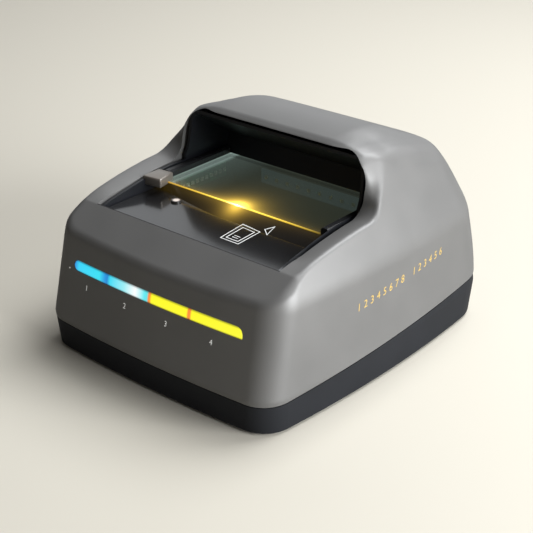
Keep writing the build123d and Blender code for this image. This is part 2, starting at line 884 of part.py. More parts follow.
barrel = cylinder(0, 0, camera_top, camera_top + barrel_height, barrel_radius)
bore = cylinder(0, 0, camera_top + barrel_wall, roof_height, lens_glass_radius + screw_play)
ship(barrel - bore, "camera_barrel")
glass_low = camera_top + barrel_height - 2 * lens_glass_height
ship(cylinder(0, 0, glass_low, glass_low + lens_glass_height, lens_glass_radius), "camera_lens")
low = panel_bottom - board_thickness
antenna = box(-antenna_half_x, antenna_half_x, antenna_front_y, antenna_rear_y, low, panel_bottom)
ship(antenna, "card_antenna_board")
sides = (main_board_left, main_board_right, main_board_front, main_board_rear)
ship(make_board(*sides, main_board_height, board_places()), "main_board")
half_chip = chip_size / 2
sides = (chip_x - half_chip, chip_x + half_chip, chip_y - half_chip, chip_y + half_chip)
ship(box(*sides, board_top, board_top + chip_height), "processor")
ship(make_heat_sink(chip_x, chip_y, board_top + chip_height), "heat_sink")
buzzer_x = main_board_left + board_screw_inset + buzzer_radius + chip_height * 2
buzzer = cylinder(buzzer_x, chip_y, board_top, board_top + buzzer_height, buzzer_radius)
ship(buzzer - cylinder(buzzer_x, chip_y, board_top + buzzer_height / 2, roof_height, buzzer_hole), "buzzer")
ship(make_usb_shell(board_top), "usb_socket_shell")
ship(make_usb_tongue(board_top), "usb_socket_tongue")
ship(make_power_socket(board_top), "power_socket")
ship(make_power_pin(board_top), "power_socket_pin")
ship(make_switch_frame(), "switch_frame")
ship(make_rocker(), "power_rocker")
ship(make_ribbon(), "ribbon_cable")
ship(Compound(children=make_feet()), "rubber_feet")
head_face = base_bottom + head_recess
tip = boss_top + screw_reach
case_size = (tip, head_face, screw_radius, screw_head_radius, screw_head_height)
ship(Compound(children=[screw(x, y, *case_size, False) for x, y in post_places()]), "case_screws")
tip = floor_top + key_size
small_size = (board_screw_radius, board_screw_head, board_screw_head_height)
board_set = [screw(x, y, tip, board_top, *small_size, True) for x, y in board_places()]
ship(Compound(children=board_set), "board_screws")
camera_set = [screw(x, y, tip, camera_top, *small_size, True) for x, y in camera_places()]
ship(Compound(children=camera_set), "camera_screws")
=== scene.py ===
import bpy
import bmesh
import math
import numpy as np
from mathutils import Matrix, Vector


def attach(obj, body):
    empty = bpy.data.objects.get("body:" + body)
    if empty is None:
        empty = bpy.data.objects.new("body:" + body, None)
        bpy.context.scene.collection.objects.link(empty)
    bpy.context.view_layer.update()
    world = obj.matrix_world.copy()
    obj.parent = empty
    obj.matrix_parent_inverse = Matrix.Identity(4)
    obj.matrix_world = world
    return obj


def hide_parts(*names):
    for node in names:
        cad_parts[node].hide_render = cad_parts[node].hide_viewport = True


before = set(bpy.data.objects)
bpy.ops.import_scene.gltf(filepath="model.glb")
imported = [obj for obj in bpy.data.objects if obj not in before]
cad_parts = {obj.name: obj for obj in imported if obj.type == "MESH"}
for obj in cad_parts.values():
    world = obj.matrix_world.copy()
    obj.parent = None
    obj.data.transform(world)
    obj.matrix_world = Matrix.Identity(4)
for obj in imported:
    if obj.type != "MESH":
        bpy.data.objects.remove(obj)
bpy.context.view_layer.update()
scene = bpy.context.scene

# The camera stands at the front right, a little above the hood, so that the lit bar, the glass and
# the right side all show.
view_turn = math.radians(40.0)
view_rise = math.radians(26.3)
camera_data = bpy.data.cameras.new("camera")
camera_data.lens = 83.45
camera_data.sensor_width = 36.0
camera_data.clip_start = 0.05
camera = bpy.data.objects.new("camera", camera_data)
camera.location = (0.4775, -0.5744, 0.4095)
camera.rotation_euler = (math.pi / 2 - view_rise, 0.0, view_turn)
scene.collection.objects.link(camera)
scene.camera = camera

# The housing is one satin grey moulding with a leaning front, an S-shaped shoulder at each side and a
# hood over the bay. Four screws from below hold it on the lower tray, along the parting line. Its form
# is worked out in millimetres, as distances to its faces, which a fine net of faces then follows.
half_width = 104.4
half_depth = 121.5
roof_height = 142.6
base_bottom = 2.0
wide_height = 24.0
ridge_height = 82.0
shoulder_height = 104.0
wall = 2.5
base_inset = 1.5
ridge_inset = 2.2
ridge_softness = 3.0
front_bulge = 4.0
side_bulge = 9.6
rear_bulge = 4.0
front_corner = 20.0
rear_corner = 38.0
rear_foot_height = 20.0
rear_foot_inset = 0.4
rear_wide_inset = 0.3
front_lean_share = 0.22
side_slope_share = 0.505

# Going up the back: height over the ridge, reach to the rear and corner radius.
rear_curve_shares = (
    (0.0, 0.898, 1.0), (0.18, 0.861, 0.9), (0.4, 0.81, 0.76), (0.528, 0.77, 0.66), (0.67, 0.709, 0.53),
    (0.744, 0.66, 0.42), (0.83, 0.576, 0.34), (0.952, 0.436, 0.26), (1.09, 0.296, 0.21),
)
rear_heights = [rear_foot_height, wide_height]
rear_heights += [ridge_height + up * (roof_height - ridge_height) for up, back, turn in rear_curve_shares]
rear_reach = [half_depth - rear_foot_inset, half_depth - rear_wide_inset]
rear_reach += [half_depth * back for up, back, turn in rear_curve_shares]
rear_turn = [rear_corner, rear_corner]
rear_turn += [rear_corner * turn for up, back, turn in rear_curve_shares]


def smooth_step(low, high, value):
    """0 below low, 1 above high, smooth between."""
    t = np.clip((value - low) / (high - low), 0.0, 1.0)
    return t * t * (3.0 - 2.0 * t)


def smooth_table(at, keys, values):
    """A smooth curve through a short table, without overshoot, and straight past both ends."""
    k = np.asarray(keys, float)
    v = np.asarray(values, float)
    slope = np.diff(v) / np.diff(k)
    same = slope[:-1] * slope[1:] > 0
    mean = 2.0 * slope[:-1] * slope[1:] / np.where(same, slope[:-1] + slope[1:], 1.0)
    tangent = np.concatenate([slope[:1], np.where(same, mean, 0.0), slope[-1:]])
    x = np.clip(at, k[0], k[-1])
    i = np.clip(np.searchsorted(k, x) - 1, 0, len(k) - 2)
    span = k[i + 1] - k[i]
    t = (x - k[i]) / span
    curve = v[i] * (1 + 2 * t) * (1 - t) ** 2 + v[i + 1] * t * t * (3 - 2 * t)
    curve += span * (tangent[i] * t * (1 - t) ** 2 - tangent[i + 1] * t * t * (1 - t))
    past_ends = np.maximum(at - k[-1], 0.0) * tangent[-1] + np.minimum(at - k[0], 0.0) * tangent[0]
    return curve + past_ends


def round_cut(a, b, radius, between=0.0):
    """The inside of both forms, rounded where they meet; between is the cosine between their normals."""
    u = a + radius
    v = b + radius
    corner = (u > between * v) & (v > between * u)
    squares = np.maximum(u * u + v * v - 2.0 * between * u * v, 0.0)
    reach = np.sqrt(squares / (1.0 - between * between))
    return np.where(corner, reach - radius, np.maximum(a, b))


def soft_join(a, b, reach):
    """The inside of either form, with a hollow fillet where they meet."""
    h = np.clip(0.5 + 0.5 * (b - a) / reach, 0.0, 1.0)
    return b + (a - b) * h - reach * h * (1.0 - h)


def wall_plan(z):
    """Half width, front and rear of the housing's outline at height z."""
    low_inset = base_inset * (wide_height - z) / (wide_height - base_bottom)
    flare = half_width - ridge_inset * (z - wide_height) / (ridge_height - wide_height)
    slope = half_width - ridge_inset - side_slope_share * (z - ridge_height)
    near_ridge = np.clip(1.0 - np.abs(flare - slope) / ridge_softness, 0.0, 1.0)
    half = np.minimum(flare, slope) - ridge_softness / 4.0 * near_ridge ** 2
    half = np.where(z < wide_height, half_width - low_inset, half)
    lean = front_lean_share * (z - wide_height)
    front = np.where(z < wide_height, low_inset, lean) - half_depth
    return half, front, smooth_table(z, rear_heights, rear_reach)


def side_walls(x, y, z):
    """Distance to the housing's upright walls: four slightly bulged sides and four round corners."""
    half, front, rear = wall_plan(z)
    ax = np.abs(x)
    front_x = half - side_bulge
    rear_x = half - side_bulge / 2.0
    front_r = (front_x ** 2 + front_bulge ** 2) / (2.0 * front_bulge)
    rear_r = (rear_x ** 2 + rear_bulge ** 2) / (2.0 * rear_bulge)
    x1, y1 = front_x, front + front_bulge
    x2, y2 = half, 0.5 * (front + rear)
    x3, y3 = rear_x, rear - rear_bulge
    d = 2.0 * (x1 * (y2 - y3) + x2 * (y3 - y1) + x3 * (y1 - y2))
    s1, s2, s3 = x1 ** 2 + y1 ** 2, x2 ** 2 + y2 ** 2, x3 ** 2 + y3 ** 2
    cx = (s1 * (y2 - y3) + s2 * (y3 - y1) + s3 * (y1 - y2)) / d
    cy = (s1 * (x3 - x2) + s2 * (x1 - x3) + s3 * (x2 - x1)) / d
    side_r = np.hypot(x1 - cx, y1 - cy)
    to_front = np.hypot(x, y - front - front_r) - front_r
    to_rear = np.hypot(x, y - rear + rear_r) - rear_r
    to_side = np.hypot(ax - cx, y - cy) - side_r
    turn = smooth_table(z, rear_heights, rear_turn)
    front_n = (ax / (to_front + front_r), (y - front - front_r) / (to_front + front_r))
    rear_n = (ax / (to_rear + rear_r), (y - rear + rear_r) / (to_rear + rear_r))
    side_n = ((ax - cx) / (to_side + side_r), (y - cy) / (to_side + side_r))
    near = round_cut(to_front, to_side, front_corner, front_n[0] * side_n[0] + front_n[1] * side_n[1])
    result = round_cut(near, to_rear, turn, rear_n[0] * side_n[0] + rear_n[1] * side_n[1])
    u = np.maximum(near + turn, 0.0) ** 2
    v = np.maximum(to_rear + turn, 0.0) ** 2
    share = np.where(near + turn > 0.0, v / (u + v + 1e-6), 1.0)
    probe = 0.5
    rear_steep = (smooth_table(z + probe, rear_heights, rear_reach) - rear) / probe
    flare_steep = ridge_inset / (ridge_height - wide_height)
    side_steep = np.where(z > ridge_height, side_slope_share, flare_steep)
    return result / np.sqrt(1.0 + (share * rear_steep) ** 2 + ((1.0 - share) * side_steep) ** 2)


# The roof: across it, the share of the half width and of the fall at the sides. Along it, a brow at
# the hood's edge, a peak behind it and a fall to the rear.
crown_fall = 18.0
crown_shares = (
    (0.0, 0.0), (0.5201, 0.0028), (0.5996, 0.0444), (0.6695, 0.1556), (0.7299, 0.3556),
    (0.7902, 0.6667), (1.0, 1.0),
)
crown_x = [across * half_width for across, down in crown_shares]
crown_drop = [down * crown_fall for across, down in crown_shares]
roof_brow_y = 4.3
roof_brow_drop = 1.4
roof_peak_y = 25.0
roof_rear_y = 60.0
roof_rear_drop = 8.2
roof_rear_slope_share = 0.42
brow_top_y = -1.0
brow_depth = 4.4
brow_slope_share = 0.566
corner_ease = 2.4
rear_corner_ease = 2.6


def roof_face(x, y, z):
    """Distance to the roof and to the sloping band along its front edge."""
    ax = np.abs(x)
    ease = corner_ease * smooth_step(44.0, 70.0, ax)
    ease += rear_corner_ease * smooth_step(46.0, 64.0, ax) * smooth_step(6.0, 28.0, y)
    top = roof_height - smooth_table(ax, crown_x, crown_drop) - ease * smooth_step(88.0, 40.0, y)
    band = z - (top - brow_depth + brow_slope_share * (y - brow_top_y))
    climb = roof_brow_drop / (roof_peak_y - roof_brow_y)
    fall = (roof_brow_drop - roof_rear_drop) / (roof_rear_y - roof_brow_y)
    bend = (fall - climb) / (roof_rear_y - roof_peak_y)
    arch = climb * (y - roof_brow_y) + bend * (y - roof_brow_y) * (y - roof_peak_y) - roof_brow_drop
    rise = np.where(y < roof_rear_y, arch, -roof_rear_drop - roof_rear_slope_share * (y - roof_rear_y))
    rise = np.where(y < roof_brow_y, -roof_brow_drop, rise)
    return round_cut(band * 0.87, (z - top - rise) * 0.985, 1.6, 0.85)


# The hood's front, going up from the shoulder: height, depth of its edge and of its flank, and how
# far out the flank begins.
hood_front_shares = (
    (0.0, -0.066, -0.09, 0.7443), (0.1503, -0.042, -0.043, 0.7443), (0.329, -0.03, 0.013, 0.7375),
    (0.5, -0.021, 0.056, 0.727), (0.6788, -0.015, 0.095, 0.6935), (0.8497, -0.008, 0.13, 0.637),
    (1.0492, 0.0, 0.17, 0.4981),
)
hood_heights = [shoulder_height + up * (roof_height - shoulder_height) for up, *others in hood_front_shares]
hood_edge = [half_depth * edge for up, edge, flank, inner in hood_front_shares]
hood_flank = [half_depth * flank for up, edge, flank, inner in hood_front_shares]
hood_inner = [half_width * inner for up, edge, flank, inner in hood_front_shares]
flank_turn = 8.0


def hood_front(x, y, z):
    """Distance to the hood's front edge and to its swept flanks."""
    edge = smooth_table(z, hood_heights, hood_edge)
    flank = smooth_table(z, hood_heights, hood_flank)
    outer = half_width - ridge_inset - side_slope_share * (z - ridge_height)
    inner = smooth_table(z, hood_heights, hood_inner)
    sweep = (flank - edge) / (outer - inner)
    swept = (sweep * (np.abs(x) - inner) - (y - edge)) / np.sqrt(1.3 + sweep ** 2)
    return round_cut(edge - y, swept, flank_turn, 0.7)


# The deck slopes up to the bay's lip, and behind it each shoulder rises on, leaning in to the bay.
lip_y = -84.5
lip_height = 93.2
deck_slope_share = 0.565
shoulder_end_y = -13.0
shoulder_curve_shares = (
    (0.0, 0.0), (0.2, 0.3704), (0.42, 0.6296), (0.6224, 0.8056), (0.8182, 0.9352), (1.0, 1.0))
shoulder_y = [lip_y + along * (shoulder_end_y - lip_y) for along, up in shoulder_curve_shares]
shoulder_z = [lip_height + up * (shoulder_height - lip_height) for along, up in shoulder_curve_shares]
shoulder_lean = 2.6
lean_outer_x = 88.0
lean_width = 12.0


def deck_face(x, y, z):
    """Distance to the sloping deck and to the shoulders behind it."""
    rise = smooth_table(y, shoulder_y, shoulder_z)
    inward = np.clip((lean_outer_x - np.abs(x)) / lean_width, 0.0, 1.0) ** 1.3
    rise = rise - shoulder_lean * smooth_step(-84.0, -62.0, y) * inward
    rise = np.where(y < lip_y, lip_height + deck_slope_share * (y - lip_y), rise)
    return (z - rise) * np.where(y < -60.0, 0.9, 0.99)


crest_round = 2.6
front_round = 6.4
hood_round = 4.0
foot_fillet = 9.0
form_bottom = 17.0


def housing_form(x, y, z):
    """Distance to the whole closed housing."""
    flank = smooth_table(z, hood_heights, hood_flank)
    crest = crest_round + front_round * smooth_step(-72.0, -100.0, y)
    crest += hood_round * smooth_step(4.0, 22.0, y - flank) * smooth_step(112.0, 128.0, z)
    hood = round_cut(hood_front(x, y, z), roof_face(x, y, z), 2.4, 0.5)
    upper = soft_join(deck_face(x, y, z), hood, foot_fillet)
    between = 0.42 + 0.24 * smooth_step(-88.0, -98.0, y)
    between = between + 0.45 * smooth_step(40.0, 60.0, y) * smooth_step(90.0, 60.0, np.abs(x))
    return np.maximum(round_cut(side_walls(x, y, z), upper, crest, between), form_bottom - z)


def grid_of(form, low, count, pitch):
    """The form's distance at every point of a grid, and the sums and counts of its edge crossings."""
    axes = [low[i] + pitch * np.arange(count[i]) for i in range(3)]
    grid = np.empty(count, np.float32)
    for k in range(count[2]):
        x, y = np.meshgrid(axes[0], axes[1], indexing="ij")
        grid[:, :, k] = form(x, y, np.full_like(x, axes[2][k]))
    total = np.zeros([c - 1 for c in count] + [3], np.float32)
    hits = np.zeros([c - 1 for c in count], np.float32)
    for axis in range(3):
        others = [i for i in range(3) if i != axis]
        a = [slice(None)] * 3
        b = [slice(None)] * 3
        a[axis] = slice(0, -1)
        b[axis] = slice(1, None)
        ga, gb = grid[tuple(a)], grid[tuple(b)]
        cross = (ga < 0.0) != (gb < 0.0)
        t = np.where(cross, ga / np.where(cross, ga - gb, 1.0), 0.0)
        for da in (0, 1):
            for db in (0, 1):
                pick = [slice(None)] * 3
                for other, shift in zip(others, (da, db)):
                    pick[other] = slice(shift, count[other] - 1 + shift)
                c = cross[tuple(pick)]
                hits += c
                total[..., axis] += np.where(c, t[tuple(pick)], 0.0)
                total[..., others[0]] += np.where(c, float(da), 0.0)
                total[..., others[1]] += np.where(c, float(db), 0.0)
    return grid, total, hits


def net_of(form, low, high, pitch):
    """Vertices and four-sided faces on the surface where form is zero."""
    count = [int(round((b - a) / pitch)) + 1 for a, b in zip(low, high)]
    grid, total, hits = grid_of(form, low, count, pitch)
    inside = grid < 0.0
    cells = np.argwhere(hits > 0)
    index = -np.ones(hits.shape, np.int64)
    index[tuple(cells.T)] = np.arange(len(cells))
    local = total[tuple(cells.T)] / hits[tuple(cells.T)][:, None]
    points = np.asarray(low) + pitch * (cells + local)
    faces = []
    for axis in range(3):
        a = [slice(1, -1)] * 3
        b = [slice(1, -1)] * 3
        a[axis] = slice(0, -1)
        b[axis] = slice(1, None)
        start, end = inside[tuple(a)], inside[tuple(b)]
        step_u = np.eye(3, dtype=int)[(axis + 1) % 3]
        step_v = np.eye(3, dtype=int)[(axis + 2) % 3]
        for sign, mask in ((1, start & ~end), (-1, ~start & end)):
            at = np.argwhere(mask) + 1
            at[:, axis] -= 1
            ring = [at - step_u - step_v, at - step_v, at, at - step_u]
            quad = np.stack([index[tuple(r.T)] for r in ring], axis=1)
            faces.append(quad if sign > 0 else quad[:, ::-1])
    step = 0.05
    for _ in range(3):
        x, y, z = points.T
        slope = np.stack([
            form(x + step, y, z) - form(x - step, y, z),
            form(x, y + step, z) - form(x, y - step, z),
            form(x, y, z + step) - form(x, y, z - step)], axis=1) / (2 * step)
        size = np.maximum((slope ** 2).sum(axis=1), 0.2)
        move = -(form(x, y, z) / size)[:, None] * slope
        points = points + np.clip(move, -pitch, pitch)
    return points, np.concatenate(faces)


def mesh_of(name, points, faces):
    """A mesh object in metres from points in millimetres."""
    mesh = bpy.data.meshes.new(name)
    mesh.from_pydata((np.asarray(points) / 1000.0).tolist(), [], [list(map(int, f)) for f in faces])
    mesh.update()
    piece = bpy.data.objects.new(name, mesh)
    scene.collection.objects.link(piece)
    return piece


def face_out(piece, toward=None):
    """Makes all faces point outwards or, on a thin open piece, mostly the way that toward points."""
    bm = bmesh.new()
    bm.from_mesh(piece.data)
    bmesh.ops.recalc_face_normals(bm, faces=bm.faces)
    if toward is not None and sum(face.normal.dot(Vector(toward)) for face in bm.faces) < 0.0:
        bmesh.ops.reverse_faces(bm, faces=bm.faces)
    bm.to_mesh(piece.data)
    bm.free()


def smooth_faces(piece, sharp_degrees):
    """Smooth shading, with edges sharper than the given angle left crisp."""
    for polygon in piece.data.polygons:
        polygon.use_smooth = True
    piece.data.set_sharp_from_angle(angle=math.radians(sharp_degrees))


def settle(piece):
    """Applies a piece's modifiers."""
    graph = bpy.context.evaluated_depsgraph_get()
    mesh = bpy.data.meshes.new_from_object(piece.evaluated_get(graph))
    old = piece.data
    piece.modifiers.clear()
    piece.data = mesh
    bpy.data.meshes.remove(old)


def cut_opening(piece, outline, y0, y1):
    """Cuts an opening with the given front-view outline, from y0 to y1."""
    count = len(outline)
    points = [(x, y0, z) for x, z in outline] + [(x, y1, z) for x, z in outline]
    faces = [list(range(count)), list(range(2 * count - 1, count - 1, -1))]
    faces += [[i, i + count, (i + 1) % count + count, (i + 1) % count] for i in range(count)]
    cutter = mesh_of("cutter", points, faces)
    face_out(cutter)
    modifier = piece.modifiers.new("cut", "BOOLEAN")
    modifier.operation = "DIFFERENCE"
    modifier.solver = "EXACT"
    modifier.object = cutter
    settle(piece)
    bpy.data.objects.remove(cutter)


def corner_arc(cx, cz, radius, start, steps):
    """Points round one rounded corner of a front-view outline, a quarter turn from start."""
    turns = [start + math.pi / 2 * i / steps for i in range(steps + 1)]
    return [(cx + radius * math.cos(turn), cz + radius * math.sin(turn)) for turn in turns]


net_low = (-107.9, -124.9, 14.0)
net_high = (107.9, 124.0, 147.0)
pitch = 1.3
housing = mesh_of("housing", *net_of(housing_form, net_low, net_high, pitch))

# The hood's arched mouth, and the slot that the lit bar shows through.
mouth_half = 76.3
mouth_low = 70.0
mouth_top = 138.6
mouth_corner = 20.0
mouth_back_y = 12.5
corner_x = mouth_half - mouth_corner
corner_z = mouth_top - mouth_corner
mouth_outline = [(mouth_half, mouth_low)]
mouth_outline += corner_arc(corner_x, corner_z, mouth_corner, 0.0, 16)
mouth_outline += corner_arc(-corner_x, corner_z, mouth_corner, math.pi / 2, 16)
mouth_outline += [(-mouth_half, mouth_low)]
cut_opening(housing, mouth_outline, lip_y, mouth_back_y)

bar_half_length = 70.8
bar_centre = 61.5
bar_height = 6.4
bar_gap = 0.25
bar_round_x = -67.6
bar_sweep_x = 64.8
bar_sweep = 6.0
bar_sweep_power = 2.6
slot_front_y = -130.0
slot_back_y = -98.0


def bar_edges(x, gap):
    """Lower and upper edge of the lit bar at x: its left end is round, its right end swept."""
    reach = bar_height / 2 + gap
    low = bar_centre - reach
    if x < bar_round_x:
        half = reach * math.sqrt(max(0.0, 1.0 - ((x - bar_round_x) / reach) ** 2))
        return bar_centre - half, bar_centre + half
    if x > bar_sweep_x:
        out = ((x - bar_sweep_x) / (bar_sweep + gap)) ** bar_sweep_power
        return low, low + 2 * reach * max(0.0, 1.0 - out) ** (1 / bar_sweep_power)
    return low, low + 2 * reach


def bar_stations(x0, x1, count):
    """Places along the bar, closer together near both ends."""
    return [x0 + (x1 - x0) * 0.5 * (1.0 - math.cos(math.pi * i / count)) for i in range(count + 1)]


slot_end = bar_half_length + bar_gap
slot_x = bar_stations(-slot_end, slot_end, 60)[1:-1]
slot_outline = [(x, bar_edges(x, bar_gap)[0]) for x in slot_x]
slot_outline += [(x, bar_edges(x, bar_gap)[1]) for x in reversed(slot_x)]
cut_opening(housing, slot_outline, slot_front_y, slot_back_y)

# Only the outer skin stays. It ends at the parting line, and every rim gets a turned-in edge.
skin_depth = 0.35
parting_height = 20.7
parting_slope_share = 0.046
rim_reach = 0.1
slot_edge = 4.0
mouth_edge = 6.0
sill_edge = 4.5
bm = bmesh.new()
bm.from_mesh(housing.data)
centres = np.array([face.calc_center_median() for face in bm.faces]) * 1000.0
inner = (housing_form(*centres.T) < -skin_depth) | (centres[:, 2] < form_bottom + 0.5)
bmesh.ops.delete(bm, geom=[face for face, gone in zip(bm.faces, inner) if gone], context="FACES")
bmesh.ops.bisect_plane(
    bm, geom=bm.verts[:] + bm.edges[:] + bm.faces[:], dist=1e-6, clear_inner=True,
    plane_co=(0.0, -half_depth / 1000.0, parting_height / 1000.0),
    plane_no=Vector((0.0, -parting_slope_share, 1.0)).normalized())
bmesh.ops.remove_doubles(bm, verts=bm.verts, dist=2e-5)
bmesh.ops.delete(bm, geom=[vert for vert in bm.verts if not vert.link_faces], context="VERTS")
rims = bmesh.ops.extrude_edge_only(bm, edges=[edge for edge in bm.edges if edge.is_boundary])
for vert in [item for item in rims["geom"] if isinstance(item, bmesh.types.BMVert)]:
    x, y, z = vert.co * 1000.0
    if z < parting_height + rim_reach + parting_slope_share * (y + half_depth):
        vert.co -= Vector((x, y * 0.86, 0.0)).normalized() * wall / 1000.0
    elif y < -105.0:
        vert.co.y += slot_edge / 1000.0
    else:
        back = float(smooth_step(100.0, 116.0, z))
        vert.co += Vector((0.0, mouth_edge * back, -sill_edge * (1.0 - back))) / 1000.0
bm.to_mesh(housing.data)
bm.free()
smooth_faces(housing, 42.0)
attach(housing, "housing")
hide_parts("upper_cover")


def grain_group():
    """Fine moulded grain: a height, and a slow mottling from 0 to 1."""
    tree = bpy.data.node_groups.new("moulded_grain", "ShaderNodeTree")
    for label, value in (("Grain Scale", 1400.0), ("Mottle Scale", 30.0)):
        socket = tree.interface.new_socket(label, in_out="INPUT", socket_type="NodeSocketFloat")
        socket.default_value = value
    entry = tree.nodes.new("NodeGroupInput")
    place = tree.nodes.new("ShaderNodeTexCoord")
    results = []
    for label, scale, detail in (("Height", "Grain Scale", 3.0), ("Mottle", "Mottle Scale", 2.0)):
        tree.interface.new_socket(label, in_out="OUTPUT", socket_type="NodeSocketFloat")
        noise = tree.nodes.new("ShaderNodeTexNoise")
        noise.inputs["Detail"].default_value = detail
        tree.links.new(place.outputs["Object"], noise.inputs["Vector"])
        tree.links.new(entry.outputs[scale], noise.inputs["Scale"])
        results.append((label, noise))
    exit_node = tree.nodes.new("NodeGroupOutput")
    for label, noise in results:
        tree.links.new(noise.outputs["Fac"], exit_node.inputs[label])
    return tree


grain = grain_group()


def blank_finish(name):
    """A new material, with its node tree and its shader."""
    material = bpy.data.materials.new(name)
    material.use_nodes = True
    return material, material.node_tree, material.node_tree.nodes["Principled BSDF"]


def stretch(tree, value, before=(0.0, 1.0), after=(0.0, 1.0), kind="LINEAR"):
    """Moves a value from the range before to the range after, and cuts it off at both ends."""
    node = tree.nodes.new("ShaderNodeMapRange")
    node.interpolation_type = kind
    for label, limit in zip(("From Min", "From Max", "To Min", "To Max"), before + after):
        node.inputs[label].default_value = limit
    tree.links.new(value, node.inputs["Value"])
    return node.outputs["Result"]


def uneven_gloss(tree, source, shader, low, high):
    """Roughness that drifts slowly from low to high over a surface."""
    gloss = stretch(tree, source.outputs["Mottle"], after=(low, high))
    tree.links.new(gloss, shader.inputs["Roughness"])


def moulded(name, shades, rough, bump=0.02, grain_scale=1400.0, metallic=0.0, coat=0.0, rough_span=0.06):
    """A moulded or coated surface: mottled between two shades, with a grain bump in mm and uneven gloss."""
    material, tree, shader = blank_finish(name)
    source = tree.nodes.new("ShaderNodeGroup")
    source.node_tree = grain
    source.inputs["Grain Scale"].default_value = grain_scale
    shade = tree.nodes.new("ShaderNodeMix")
    shade.data_type = "RGBA"
    shade.inputs["A"].default_value = (*shades[0], 1.0)
    shade.inputs["B"].default_value = (*shades[1], 1.0)
    tree.links.new(source.outputs["Mottle"], shade.inputs["Factor"])
    tree.links.new(shade.outputs["Result"], shader.inputs["Base Color"])
    uneven_gloss(tree, source, shader, rough - rough_span, rough + rough_span)
    dent = tree.nodes.new("ShaderNodeBump")
    dent.inputs["Strength"].default_value = 0.6
    dent.inputs["Distance"].default_value = bump / 1000.0
    tree.links.new(source.outputs["Height"], dent.inputs["Height"])
    tree.links.new(dent.outputs["Normal"], shader.inputs["Normal"])
    shader.inputs["Metallic"].default_value = metallic
    shader.inputs["Coat Weight"].default_value = coat
    shader.inputs["Coat Roughness"].default_value = 0.2
    return material


satin_shades = ((0.163, 0.160, 0.155), (0.195, 0.190, 0.184))
housing.data.materials.append(
    moulded("housing_satin", satin_shades, 0.48, bump=0.015, metallic=0.35, coat=0.05))


def finish_nodes(material, *names):
    """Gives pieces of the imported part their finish."""
    for name in names:
        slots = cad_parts[name].data.materials
        slots.clear()
        slots.append(material)


# The lower tray is matt near-black plastic, moulded in one with the screw bosses and standoffs. It
# carries the boards and takes the housing's screws from below.
tray_shades = ((0.014, 0.015, 0.017), (0.020, 0.021, 0.025))
tray_black = moulded("tray_black", tray_shades, 0.45, bump=0.03)
tray_black.node_tree.nodes["Principled BSDF"].inputs["Specular IOR Level"].default_value = 0.25
finish_nodes(tray_black, "base_tray")

# The four feet are round pads of soft black rubber, set into seats in the tray's underside so that
# the reader doesn't slide on the counter.
rubber_shades = ((0.02, 0.02, 0.02), (0.035, 0.035, 0.035))
finish_nodes(moulded("foot_rubber", rubber_shades, 0.8, bump=0.06, grain_scale=900.0), "rubber_feet")

# The bay is lined with a thin black moulding: two side walls, the rear stop and the ceiling. It fits
# inside the hood. Its right wall stays below the shoulder, whose inner edge hides it.
liner_shades = ((0.006, 0.0065, 0.009), (0.009, 0.010, 0.013))
sill_x = 73.0
sill_back_y = -12.0
sill_height = 91.0
liner_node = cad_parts["bay_liner"]
liner_mesh = liner_node.data.copy()
liner_mesh.transform(liner_node.matrix_world)
liner = bpy.data.objects.new("bay_lining", liner_mesh)
scene.collection.objects.link(liner)
bm = bmesh.new()
bm.from_mesh(liner_mesh)
bmesh.ops.remove_doubles(bm, verts=bm.verts, dist=1e-5)
for vert in bm.verts:
    if vert.co.x * 1000.0 > sill_x and vert.co.y * 1000.0 < sill_back_y:
        vert.co.z = min(vert.co.z, sill_height / 1000.0)
bm.to_mesh(liner_mesh)
bm.free()
liner_mesh.materials.clear()
liner_mesh.materials.append(moulded("liner_black", liner_shades, 0.42))
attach(liner, "housing")
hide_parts("bay_liner")


def painted_glow_group():
    """Painted gold glow around the front edge of the glass, brightest at its middle; lengths in metres."""
    spot_x, spot_y = -0.001, -0.0336
    line_half, line_width = 0.026, 0.0034
    spot_area = 0.00006
    line_glow, spot_glow = 0.36, 2.4
    gold = (1.0, 0.62, 0.08)
    tree = bpy.data.node_groups.new("painted_gold_glow", "ShaderNodeTree")
    strength = tree.interface.new_socket("Strength", in_out="INPUT", socket_type="NodeSocketFloat")
    strength.default_value = 1.0
    tree.interface.new_socket("Light", in_out="OUTPUT", socket_type="NodeSocketColor")
    entry = tree.nodes.new("NodeGroupInput")
    exit_node = tree.nodes.new("NodeGroupOutput")
    place = tree.nodes.new("ShaderNodeTexCoord")
    parts = tree.nodes.new("ShaderNodeSeparateXYZ")
    tree.links.new(place.outputs["Object"], parts.inputs["Vector"])

    def number(kind, *sources):
        node = tree.nodes.new("ShaderNodeMath")
        node.operation = kind
        for slot, source in enumerate(sources):
            if isinstance(source, (int, float)):
                node.inputs[slot].default_value = source
            else:
                tree.links.new(source, node.inputs[slot])
        return node.outputs["Value"]

    def squared(source):
        return number("MULTIPLY", source, source)

    across = number("SUBTRACT", parts.outputs["X"], spot_x)
    ahead = number("SUBTRACT", parts.outputs["Y"], spot_y)
    along_fade = number("ADD", squared(number("DIVIDE", across, line_half)), 1.0)
    aside_fade = number("ADD", squared(number("DIVIDE", ahead, line_width)), 1.0)
    line = number("DIVIDE", 1.0, number("MULTIPLY", along_fade, aside_fade))
    # The spot is a painted highlight at the middle of the painted line of light.
    off_spot = number("ADD", squared(across), squared(ahead))
    spot = number("DIVIDE", 1.0, squared(number("ADD", number("DIVIDE", off_spot, spot_area), 1.0)))
    amount = number("ADD", number("MULTIPLY", line, line_glow), number("MULTIPLY", spot, spot_glow))
    amount = number("MULTIPLY", amount, entry.outputs["Strength"])
    tint = tree.nodes.new("ShaderNodeVectorMath")
    tint.operation = "SCALE"
    tint.inputs[0].default_value = gold
    tree.links.new(amount, tint.inputs["Scale"])
    tree.links.new(tint.outputs["Vector"], exit_node.inputs["Light"])
    return tree


painted_glow = painted_glow_group()


